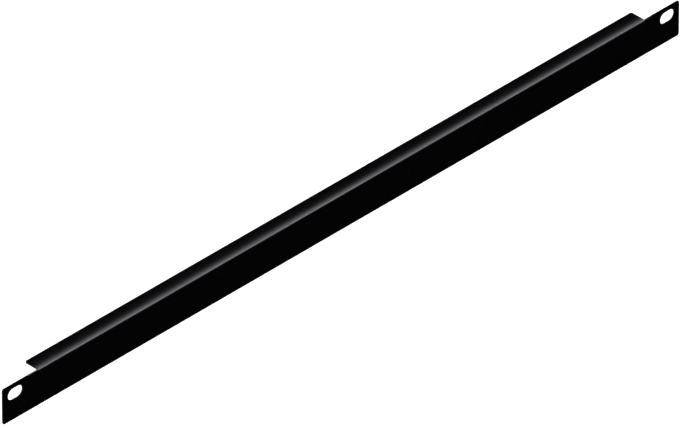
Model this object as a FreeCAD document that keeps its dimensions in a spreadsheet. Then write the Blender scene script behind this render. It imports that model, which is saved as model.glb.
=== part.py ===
"""Blanking panel for half a unit of a 19-inch rack, folded from one steel sheet. Sizes are in millimetres.

+X runs along the panel, -Y faces out of the rack and +Z is up. The origin lies midway between the two
slots, on the rear face, which seats on the rack's rails. The sheet is cut flat, slit at both ends of the
fold, and its top edge is folded back between the ears into a stiffening flange.
"""

import FreeCAD, Part
import Sketcher
import math
import os
import sys

SIZES = {
    "panel_width": (482.6, "end to end, a 19-inch front"),
    "panel_height": (21.43, "half a rack unit of 44.45, less 0.79 to clear the panels above and below"),
    "sheet_thickness": (0.8, "the steel with its coat"),
    "corner_radius": (1.2, "the plate's four corners"),
    "slot_inset": (8.75, "panel end to slot centre, so that the slots are 465.1 apart"),
    "slot_drop": (5.95, "top edge to slot centre"),
    "slot_length": (10.3, "each slot, end to end"),
    "slot_width": (7.0, "each slot across, clear of an M6 screw"),
    "ear_length": (25.0, "panel end to flange end, the flat part that covers the rail"),
    "flange_depth": (10.0, "front face to the flange's back edge"),
    "flange_corner_radius": (1.2, "the flange's two back corners"),
    "bend_radius": (0.6, "inside of the fold"),
    "relief_width": (0.3, "slit between an ear and the end of the fold"),
    "relief_depth": (0.6, "how far a slit runs on past the start of the fold"),
}

POINTS = ["whole", "start", "end", "centre"]
AXES = ["level axis", "upright axis"]
ORIGIN = ["level axis", "start"]


# ---- The size sheet and the sketching helpers

def add_size_sheet(doc):
    """One row for each driving size: name, number and note, with the name as the number's alias."""
    sizes = doc.addObject("Spreadsheet::Sheet", "sizes")
    for row, (name, (size, note)) in enumerate(SIZES.items(), start=1):
        sizes.set(f"A{row}", name)
        sizes.set(f"B{row}", str(size))
        sizes.set(f"C{row}", note)
        sizes.setAlias(f"B{row}", name)
    doc.recompute()
    return sizes


def origin_plane(body, role):
    """One of the body's own origin planes."""
    return next(plane for plane in body.Origin.OriginFeatures if plane.Role == role)


def add_sketch(body, name, role):
    """An empty sketch on an origin plane of the body."""
    sketch = body.newObject("Sketcher::SketchObject", name)
    sketch.AttachmentSupport = [(origin_plane(body, role), "")]
    sketch.MapMode = "FlatFace"
    return sketch


def as_number(term):
    """Sketcher's number for a point of a line or arc, or for an axis of the sketch."""
    if term in POINTS:
        return POINTS.index(term)
    if term in AXES:
        return -1 - AXES.index(term)
    return term


def constrain(sketch, kind, *terms):
    """A constraint whose points and axes are given in words, and its number in the sketch."""
    return sketch.addConstraint(Sketcher.Constraint(kind, *[as_number(term) for term in terms]))


def bind(sketch, name, formula, kind, *terms):
    """A named dimension that the size sheet drives. Its last term is only where the solver starts."""
    sketch.renameConstraint(constrain(sketch, kind, *terms), name)
    sketch.setExpression(f"Constraints.{name}", formula)


def add_line(sketch, start, end):
    """A straight line, kept level or upright."""
    line = sketch.addGeometry(Part.LineSegment(FreeCAD.Vector(*start, 0), FreeCAD.Vector(*end, 0)))
    constrain(sketch, "Horizontal" if math.isclose(start[1], end[1]) else "Vertical", line)
    return line


def add_arc(sketch, centre, radius, first_quarter, last_quarter):
    """An arc that runs anticlockwise between two whole numbers of quarter turns."""
    circle = Part.Circle(FreeCAD.Vector(*centre, 0), FreeCAD.Vector(0, 0, 1), radius)
    quarter = math.pi / 2
    return sketch.addGeometry(Part.ArcOfCircle(circle, first_quarter * quarter, last_quarter * quarter))


def add_outline(sketch, corners):
    """A closed run of straight lines, the first one from the first corner."""
    lines = [add_line(sketch, start, end) for start, end in zip(corners, corners[1:] + corners[:1])]
    for line, following in zip(lines, lines[1:] + lines[:1]):
        constrain(sketch, "Coincident", line, "end", following, "start")
    return lines


def straight_edges(shape, direction, behind=-math.inf):
    """Names of the straight edges along a direction whose middle lies further back than a given depth."""
    names = []
    for number, edge in enumerate(shape.Edges, start=1):
        along = isinstance(edge.Curve, Part.Line) and edge.Curve.Direction.isParallel(direction, 0.001)
        if along and edge.CenterOfMass.y > behind:
            names.append(f"Edge{number}")
    return names


def round_edges(body, name, base, edges, formula):
    """A fillet on named edges of the body's last feature."""
    fillet = body.newObject("PartDesign::Fillet", name)
    fillet.Base = (base, edges)
    fillet.setExpression("Radius", formula)
    body.Document.recompute()
    return fillet


# ---- The folded panel

def add_plate(body, sizes):
    """The flat front, a full rectangle with rounded corners, in front of the rear face."""
    half = sizes.panel_width / 2
    top = sizes.slot_drop
    foot = top - sizes.panel_height
    sketch = add_sketch(body, "plate_outline", "XZ_Plane")
    lower, end, upper, _ = add_outline(sketch, [(-half, foot), (half, foot), (half, top), (-half, top)])
    bind(sketch, "width", "sizes.panel_width", "DistanceX", lower, "start", lower, "end", 2 * half)
    bind(sketch, "half", "sizes.panel_width / 2", "DistanceX", *ORIGIN, end, "start", half)
    bind(sketch, "height", "sizes.panel_height", "DistanceY", end, "start", end, "end", top - foot)
    bind(sketch, "top", "sizes.slot_drop", "DistanceY", *ORIGIN, upper, "start", top)
    plate = body.newObject("PartDesign::Pad", "plate")
    plate.Profile = sketch
    plate.setExpression("Length", "sizes.sheet_thickness")
    body.Document.recompute()
    corners = straight_edges(plate.Shape, FreeCAD.Vector(0, 1, 0))
    round_edges(body, "plate_corners", plate, corners, "sizes.corner_radius")


def add_fold_gap(body, sizes):
    """The top edge cut down to where the fold starts, with a relief slit past that line at each end."""
    fold = sizes.panel_width / 2 - sizes.ear_length
    gap = fold + sizes.relief_width
    above = sizes.slot_drop + sizes.sheet_thickness
    seat_level = sizes.slot_drop - sizes.sheet_thickness - sizes.bend_radius
    floor = seat_level - sizes.relief_depth
    left = [(-gap, above), (-gap, floor), (-fold, floor), (-fold, seat_level)]
    right = [(-x, z) for x, z in reversed(left)]
    fold_formula = "sizes.panel_width / 2 - sizes.ear_length"
    above_formula = "sizes.slot_drop + sizes.sheet_thickness"
    seat_formula = "sizes.slot_drop - sizes.sheet_thickness - sizes.bend_radius"
    sketch = add_sketch(body, "fold_gap_outline", "XZ_Plane")
    side, slit, rise, seat, other_rise, other_slit, _, _ = add_outline(sketch, left + right)
    constrain(sketch, "Equal", slit, other_slit)
    constrain(sketch, "Equal", rise, other_rise)
    bind(sketch, "left_fold", fold_formula, "DistanceX", seat, "start", *ORIGIN, fold)
    bind(sketch, "right_fold", fold_formula, "DistanceX", *ORIGIN, seat, "end", fold)
    bind(sketch, "slit", "sizes.relief_width", "DistanceX", slit, "start", slit, "end", gap - fold)
    bind(sketch, "depth", "sizes.relief_depth", "DistanceY", rise, "start", rise, "end", seat_level - floor)
    bind(sketch, "seat_level", seat_formula, "DistanceY", *ORIGIN, seat, "start", seat_level)
    bind(sketch, "above", above_formula, "DistanceY", *ORIGIN, side, "start", above)
    pocket = body.newObject("PartDesign::Pocket", "fold_gap")
    pocket.Profile = sketch
    pocket.Type = "ThroughAll"
    pocket.Reversed = True


def add_flange(body, sizes):
    """The fold and the flange behind it, as one section of constant thickness drawn from the side."""
    top = sizes.slot_drop
    under = top - sizes.sheet_thickness
    inside = sizes.bend_radius
    outside = inside + sizes.sheet_thickness
    front = -sizes.sheet_thickness
    back = front + sizes.flange_depth
    centre = (inside, under - inside)
    sketch = add_sketch(body, "flange_section", "YZ_Plane")
    outer = add_arc(sketch, centre, outside, 1, 2)
    inner = add_arc(sketch, centre, inside, 1, 2)
    upper = add_line(sketch, (inside, top), (back, top))
    edge = add_line(sketch, (back, top), (back, under))
    lower = add_line(sketch, (back, under), (inside, under))
    seam = add_line(sketch, (0, centre[1]), (front, centre[1]))
    constrain(sketch, "Coincident", outer, "centre", inner, "centre")
    constrain(sketch, "Tangent", outer, "start", upper, "start")
    constrain(sketch, "Coincident", upper, "end", edge, "start")
    constrain(sketch, "Coincident", edge, "end", lower, "start")
    constrain(sketch, "Tangent", lower, "end", inner, "start")
    constrain(sketch, "Perpendicular", inner, "end", seam, "start")
    constrain(sketch, "Coincident", seam, "end", outer, "end")
    constrain(sketch, "PointOnObject", inner, "end", "upright axis")
    bind(sketch, "bend", "sizes.bend_radius", "Radius", inner, inside)
    bind(sketch, "thickness", "sizes.sheet_thickness", "DistanceY", edge, "end", edge, "start", top - under)
    bind(sketch, "top", "sizes.slot_drop", "DistanceY", *ORIGIN, upper, "start", top)
    bind(sketch, "depth", "sizes.flange_depth", "DistanceX", seam, "end", edge, "start", back - front)
    flange = body.newObject("PartDesign::Pad", "flange")
    flange.Profile = sketch
    flange.Midplane = True
    flange.setExpression("Length", "sizes.panel_width - 2 * sizes.ear_length")
    body.Document.recompute()
    corners = straight_edges(flange.Shape, FreeCAD.Vector(0, 0, 1), behind=inside)
    round_edges(body, "flange_corners", flange, corners, "sizes.flange_corner_radius")


def add_slots(body, sizes):
    """The mounting slot in the left ear and its mirror image in the right one."""
    radius = sizes.slot_width / 2
    reach = sizes.slot_length / 2 - radius
    centre = sizes.slot_inset - sizes.panel_width / 2
    run_formula = "sizes.slot_length - sizes.slot_width"
    outer_formula = f"sizes.panel_width / 2 - sizes.slot_inset + ({run_formula}) / 2"
    sketch = add_sketch(body, "slot_outline", "XZ_Plane")
    outer_end = add_arc(sketch, (centre - reach, 0), radius, 1, 3)
    inner_end = add_arc(sketch, (centre + reach, 0), radius, 3, 5)
    upper = add_line(sketch, (centre + reach, radius), (centre - reach, radius))
    lower = add_line(sketch, (centre - reach, -radius), (centre + reach, -radius))
    constrain(sketch, "Tangent", upper, "end", outer_end, "start")
    constrain(sketch, "Tangent", outer_end, "end", lower, "start")
    constrain(sketch, "Tangent", lower, "end", inner_end, "start")
    constrain(sketch, "Tangent", inner_end, "end", upper, "start")
    constrain(sketch, "PointOnObject", outer_end, "centre", "level axis")
    bind(sketch, "radius", "sizes.slot_width / 2", "Radius", outer_end, radius)
    bind(sketch, "run", run_formula, "DistanceX", lower, "start", lower, "end", 2 * reach)
    bind(sketch, "place", outer_formula, "DistanceX", outer_end, "centre", *ORIGIN, reach - centre)
    slot = body.newObject("PartDesign::Pocket", "left_slot")
    slot.Profile = sketch
    slot.Type = "ThroughAll"
    slot.Reversed = True
    both = body.newObject("PartDesign::Mirrored", "both_slots")
    both.Originals = [slot]
    both.MirrorPlane = (origin_plane(body, "YZ_Plane"), [""])
    body.Tip = both


def add_panel(doc, sizes):
    """The folded sheet: plate, gap for the fold, flange and slots."""
    body = doc.addObject("PartDesign::Body", "panel")
    add_plate(body, sizes)
    add_fold_gap(body, sizes)
    add_flange(body, sizes)
    add_slots(body, sizes)
    doc.recompute()
    return body


# ---- Check and export

def check(doc, body):
    """Stops before anything is written if a feature failed or the body isn't one sound solid."""
    for item in doc.Objects:
        if "Invalid" in item.State or "Error" in item.State:
            sys.exit(f"{item.Name} failed: {item.State}")
    if body.Shape.isNull() or not body.Shape.isValid() or len(body.Shape.Solids) != 1:
        sys.exit(f"{body.Label} isn't one valid solid")


def export(body):
    """The body's own STEP file, named by its label."""
    os.makedirs("parts", exist_ok=True)
    body.Shape.exportStep(f"parts/{body.Label}.step")
    box = body.Shape.BoundBox
    print(f"{body.Label}: {box.XLength:.2f} x {box.YLength:.2f} x {box.ZLength:.2f} mm")
    print(f"volume: {body.Shape.Volume:.1f} mm3")


def main():
    doc = FreeCAD.newDocument("blanking_panel")
    sizes = add_size_sheet(doc)
    panel = add_panel(doc, sizes)
    check(doc, panel)
    export(panel)


main()
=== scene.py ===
import math

import bpy
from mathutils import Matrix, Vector


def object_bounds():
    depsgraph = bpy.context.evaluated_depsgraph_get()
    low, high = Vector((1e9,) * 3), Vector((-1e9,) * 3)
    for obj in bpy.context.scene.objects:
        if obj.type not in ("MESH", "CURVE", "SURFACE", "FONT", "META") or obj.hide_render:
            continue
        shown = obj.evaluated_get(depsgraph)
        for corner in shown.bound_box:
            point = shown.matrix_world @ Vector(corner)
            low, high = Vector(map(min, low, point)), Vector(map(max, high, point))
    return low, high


# Half-unit rack blanking panel in satin black powder coat, in a white room under two strip lights.
# Metres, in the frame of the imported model: +X along the panel, -Y out of the rack, +Z up.

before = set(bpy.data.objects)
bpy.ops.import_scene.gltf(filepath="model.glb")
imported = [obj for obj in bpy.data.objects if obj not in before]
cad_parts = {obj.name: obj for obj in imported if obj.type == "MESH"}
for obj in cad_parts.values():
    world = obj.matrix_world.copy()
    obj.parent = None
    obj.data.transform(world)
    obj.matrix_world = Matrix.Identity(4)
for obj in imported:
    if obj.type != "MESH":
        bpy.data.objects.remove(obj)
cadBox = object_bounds()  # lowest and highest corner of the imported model
low, high = cadBox
middle = (low + high) / 2
fold = Vector((0, 0, high.z))  # top of the fold, halfway along
scene = bpy.context.scene
mm = 0.001


def toLinear(hexColour):  # "#rrggbb" as written for the screen, to linear RGBA
    shades = [int(hexColour[i:i + 2], 16) / 255 for i in (1, 3, 5)]
    return [s / 12.92 if s <= 0.04045 else ((s + 0.055) / 1.055) ** 2.4 for s in shades] + [1.0]


def addNode(tree, kind, settings=None, links=None):  # settings: a socket or an attribute; links: a socket
    node = tree.nodes.new(kind)
    for name, value in (settings or {}).items():
        if isinstance(name, int) or name in node.inputs:
            node.inputs[name].default_value = value
        else:
            setattr(node, name, value)
    for name, source in (links or {}).items():
        tree.links.new(source, node.inputs[name])
    return node


def newMaterial(name):
    material = bpy.data.materials.new(name)
    material.use_nodes = True
    material.node_tree.nodes.clear()
    return material, material.node_tree


def addMesh(name, corners, faces, material):
    mesh = bpy.data.meshes.new(name)
    mesh.from_pydata(corners, [], faces)
    mesh.materials.append(material)
    thing = bpy.data.objects.new(name, mesh)
    scene.collection.objects.link(thing)
    return thing


def aimAt(thing, target):
    thing.rotation_mode = "QUATERNION"
    thing.rotation_quaternion = (target - thing.location).to_track_quat("-Z", "Y")


def aroundFold(degrees, radius, along=0.0):  # 0 is behind the panel, 90 above it and 180 in front
    turn = math.radians(degrees)
    return fold + Vector((along, radius * math.cos(turn), radius * math.sin(turn)))


# Powder coat on the folded sheet
coat = {
    "colour": "#020202",
    "thinColour": "#030303",  # where the powder lies a little thinner
    "roughness": (0.26, 0.29),  # satin, and the rougher where the powder lies thin
    "ior": 1.5,  # polyester resin
    "driftMm": 45.0,  # slow changes of film build, from the spray passes
    "peelMm": 1.6,  # orange peel, from crest to crest
    "peelDepthMm": 0.003,
    "grainMm": 0.22,  # powder that did not quite flow out, drawn coarser than its real grains
    "grainDepthMm": 0.0004,
}


def satinBlackPowderCoat():
    # Polyester powder, sprayed dry and baked: an even, deep black skin whose faint orange peel
    # and grain blur every reflection into a soft sheen.
    material, tree = newMaterial("satinBlackPowderCoat")
    place = addNode(tree, "ShaderNodeTexCoord").outputs["Object"]
    drift = addNode(tree, "ShaderNodeTexNoise",
                    {"Scale": 1 / (coat["driftMm"] * mm), "Detail": 3.0, "Roughness": 0.55},
                    {"Vector": place}).outputs["Fac"]
    peel = addNode(tree, "ShaderNodeTexNoise",
                   {"Scale": 1 / (coat["peelMm"] * mm), "Detail": 1.0, "Roughness": 0.4},
                   {"Vector": place}).outputs["Fac"]
    grain = addNode(tree, "ShaderNodeTexNoise",
                    {"Scale": 1 / (coat["grainMm"] * mm), "Detail": 0.0},
                    {"Vector": place}).outputs["Fac"]
    colour = addNode(tree, "ShaderNodeMix",
                     {"data_type": "RGBA", 6: toLinear(coat["colour"]), 7: toLinear(coat["thinColour"])},
                     {0: drift}).outputs[2]
    gloss = addNode(tree, "ShaderNodeMapRange",
                    {"To Min": coat["roughness"][0], "To Max": coat["roughness"][1]},
                    {"Value": drift}).outputs["Result"]
    wavy = addNode(tree, "ShaderNodeBump",
                   {"Strength": 1.0, "Distance": coat["peelDepthMm"] * mm}, {"Height": peel})
    grainy = addNode(tree, "ShaderNodeBump",
                     {"Strength": 1.0, "Distance": coat["grainDepthMm"] * mm},
                     {"Height": grain, "Normal": wavy.outputs["Normal"]})
    skin = addNode(tree, "ShaderNodeBsdfPrincipled", {"IOR": coat["ior"]},
                   {"Base Color": colour, "Roughness": gloss, "Normal": grainy.outputs["Normal"]})
    addNode(tree, "ShaderNodeOutputMaterial", links={"Surface": skin.outputs["BSDF"]})
    return material


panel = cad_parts["panel"]
panel.data.materials[0] = satinBlackPowderCoat()
print("panel: powder coat on", len(panel.data.polygons), "faces")

# White floor and room
room = {
    "floorDrop": 0.45,  # the panel hangs this far above the floor
    "floorSide": 60.0,
    "floorColour": "#f0f0f0",
    "floorGlow": 0.75,  # with the light that falls on it, this makes white
}


def seenByEye(tree):  # 1 for camera, glossy and transmission rays: all three find the room white
    rays = addNode(tree, "ShaderNodeLightPath").outputs
    eye = addNode(tree, "ShaderNodeMath", {"operation": "MAXIMUM"},
                  {0: rays["Is Camera Ray"], 1: rays["Is Glossy Ray"]})
    return addNode(tree, "ShaderNodeMath", {"operation": "MAXIMUM"},
                   {0: eye.outputs[0], 1: rays["Is Transmission Ray"]}).outputs[0]


def whiteFloorPaint():
    # Matt emulsion: no shine, and its own glow takes it to paper white without more light on the panel.
    material, tree = newMaterial("whiteFloorPaint")
    strength = addNode(tree, "ShaderNodeMath", {"operation": "MULTIPLY", 1: room["floorGlow"]},
                       {0: seenByEye(tree)})
    glow = addNode(tree, "ShaderNodeEmission", links={"Strength": strength.outputs[0]})
    matt = addNode(tree, "ShaderNodeBsdfDiffuse", {"Color": toLinear(room["floorColour"])})
    both = addNode(tree, "ShaderNodeAddShader", links={0: glow.outputs[0], 1: matt.outputs[0]})
    addNode(tree, "ShaderNodeOutputMaterial", links={"Surface": both.outputs[0]})
    return material


half = room["floorSide"] / 2
floorLevel = low.z - room["floorDrop"]
floorCorners = [(x, y, floorLevel) for x, y in ((-half, -half), (half, -half), (half, half), (-half, half))]
floor = addMesh("floor", floorCorners, [(0, 1, 2, 3)], whiteFloorPaint())

world = bpy.data.worlds.new("whiteRoom")
world.use_nodes = True
scene.world = world
worldTree = world.node_tree
worldTree.nodes.clear()
sky = addNode(worldTree, "ShaderNodeBackground", {"Color": toLinear("#ffffff")},
              {"Strength": seenByEye(worldTree)})
addNode(worldTree, "ShaderNodeOutputWorld", links={"Surface": sky.outputs[0]})
print("room: white floor", room["floorDrop"], "m below the panel")

# Glowing and black cards that only the gloss sees, a painted reflection in the coat's sheen: a tunnel round
# the panel, open where the overhead strip looks in
cards = {
    "radius": 0.4,
    "reach": 1.2,  # how far the tunnel runs on to each side
    "stepDegrees": 7.5,
    "endStepDegrees": 15,
    "arcs": {  # from and to in degrees round the fold, then the glow of the painted reflection at the left, middle and right
        "low": (170.0, 300.0, (0.0, 0.0, 0.0)),
        "brow": (133.0, 170.0, (0.3, 0.3, 0.3)),
        "upperRear": (10.0, 105.0, (1.0, 0.0, 0.0)),
        "lowerRear": (-60.0, 10.0, (0.6, 0.06, 0.6)),
    },
    "endTones": (0.05, 0.05, 0.05),
}


def reflectionGlowCard(name, tones):
    # Glowing card, no lamp: it has no shine, so the coat's gloss finds only its own tone in it, a painted
    # reflection or painted dark, which may fade along the card.
    material, tree = newMaterial(name)
    place = addNode(tree, "ShaderNodeTexCoord").outputs["Object"]
    along = addNode(tree, "ShaderNodeSeparateXYZ", links={"Vector": place}).outputs["X"]
    share = addNode(tree, "ShaderNodeMapRange", {"From Min": -cards["reach"], "From Max": cards["reach"]},
                    {"Value": along})
    fade = addNode(tree, "ShaderNodeValToRGB", links={"Fac": share.outputs["Result"]})
    fade.color_ramp.elements.new(0.5)  # the middle, between the ramp's own two ends
    for stop, tone in zip(fade.color_ramp.elements, tones):
        stop.color = (tone, tone, tone, 1.0)
    # the glow is a painted reflection for the coat; a tone of 0 is a black sheet that paints dark into the
    # sheen
    glow = addNode(tree, "ShaderNodeEmission", links={"Color": fade.outputs["Color"]})
    addNode(tree, "ShaderNodeOutputMaterial", links={"Surface": glow.outputs[0]})
    return material


def addCard(name, corners, faces, tones):
    card = addMesh(name, corners, faces, reflectionGlowCard(name + "ReflectionGlow", tones))
    card.visible_camera = False
    card.visible_diffuse = False
    card.visible_shadow = False


for name, (start, end, tones) in cards["arcs"].items():
    steps = math.ceil((end - start) / cards["stepDegrees"])
    turns = [start + (end - start) * i / steps for i in range(steps + 1)]
    corners = [aroundFold(turn, cards["radius"], side)
               for turn in turns for side in (-cards["reach"], cards["reach"])]
    faces = [(2 * i, 2 * i + 1, 2 * i + 3, 2 * i + 2) for i in range(steps)]
    addCard(name + "Card", corners, faces, tones)
for name, side in (("left", -cards["reach"]), ("right", cards["reach"])):
    corners = [aroundFold(turn, cards["radius"], side) for turn in range(0, 360, cards["endStepDegrees"])]
    addCard(name + "EndCard", corners, [range(len(corners))], cards["endTones"])
print("cards:", len(cards["arcs"]), "round the panel and one at each end")

# Cool white strip lights: one close above the fold for the glow on the flange, one overhead for the line
# on the fold. Degrees and away place them round it, and along is how far the middle lies towards +X.
strips = {
    "near": {"degrees": 69.0, "away": 0.00654, "along": 0.004, "length": 0.444, "width": 0.0074,
             "spread": 150.0, "radiance": 1.8, "colour": "#f8f8ff"},
    "over": {"degrees": 120.7, "away": 1.0, "along": 0.0, "length": 2.5, "width": 0.392,
             "spread": 180.0, "radiance": 7.5, "colour": "#f8f8ff"},
}
for name, strip in strips.items():
    lamp = bpy.data.lights.new(name + "Strip", "AREA")
    lamp.shape = "RECTANGLE"
    lamp.size = strip["length"]
    lamp.size_y = strip["width"]
    lamp.spread = math.radians(strip["spread"])
    lamp.energy = strip["radiance"] * math.pi * strip["length"] * strip["width"]  # watts
    lamp.color = toLinear(strip["colour"])[:3]
    holder = bpy.data.objects.new(name + "Strip", lamp)
    holder.location = aroundFold(strip["degrees"], strip["away"], strip["along"])
    aimAt(holder, fold + Vector((strip["along"], 0, 0)))
    holder.visible_camera = False
    scene.collection.objects.link(holder)

fill = {"from": (-0.4, -0.5, 1.0), "energy": 1.0, "softness": 50.0}  # softness in degrees
sun = bpy.data.lights.new("fill", "SUN")
sun.energy = fill["energy"]
sun.angle = math.radians(fill["softness"])
sunHolder = bpy.data.objects.new("fill", sun)
sunHolder.location = Vector(fill["from"])
aimAt(sunHolder, Vector((0, 0, 0)))
sunHolder.visible_glossy = False  # evens out the floor and stays out of the sheen
scene.collection.objects.link(sunHolder)
print("lights:", len(strips), "strips and a fill")

# Isometric camera, so far off that parallel edges stay parallel
shot = {
    "azimuth": -45.0,
    "elevation": math.degrees(math.atan(1 / math.sqrt(2))),
    "lens": 1000.0,  # millimetres, like the sensor
    "sensor": 36.0,
    "viewWidth": 0.34326,  # what the frame takes in at the panel
    "right": 0.000542,  # aim beside and below the panel's middle
    "up": -0.00415,
    "clipEnd": 100.0,
}
azimuth, elevation = math.radians(shot["azimuth"]), math.radians(shot["elevation"])
right = Vector((math.cos(azimuth), math.sin(azimuth), 0))
level = Vector((math.sin(azimuth), -math.cos(azimuth), 0))
back = level * math.cos(elevation) + Vector((0, 0, math.sin(elevation)))  # from the panel to the camera
camera = bpy.data.objects.new("camera", bpy.data.cameras.new("camera"))
camera.data.sensor_width = shot["sensor"]
camera.data.lens = shot["lens"]
camera.data.clip_end = shot["clipEnd"]
target = middle + right * shot["right"] + back.cross(right) * shot["up"]
camera.location = target + back * shot["viewWidth"] * shot["lens"] / shot["sensor"]
aimAt(camera, target)
scene.collection.objects.link(camera)
scene.camera = camera
scene.view_settings.view_transform = "Standard"
print("camera:", round((camera.location - target).length, 1), "m off")
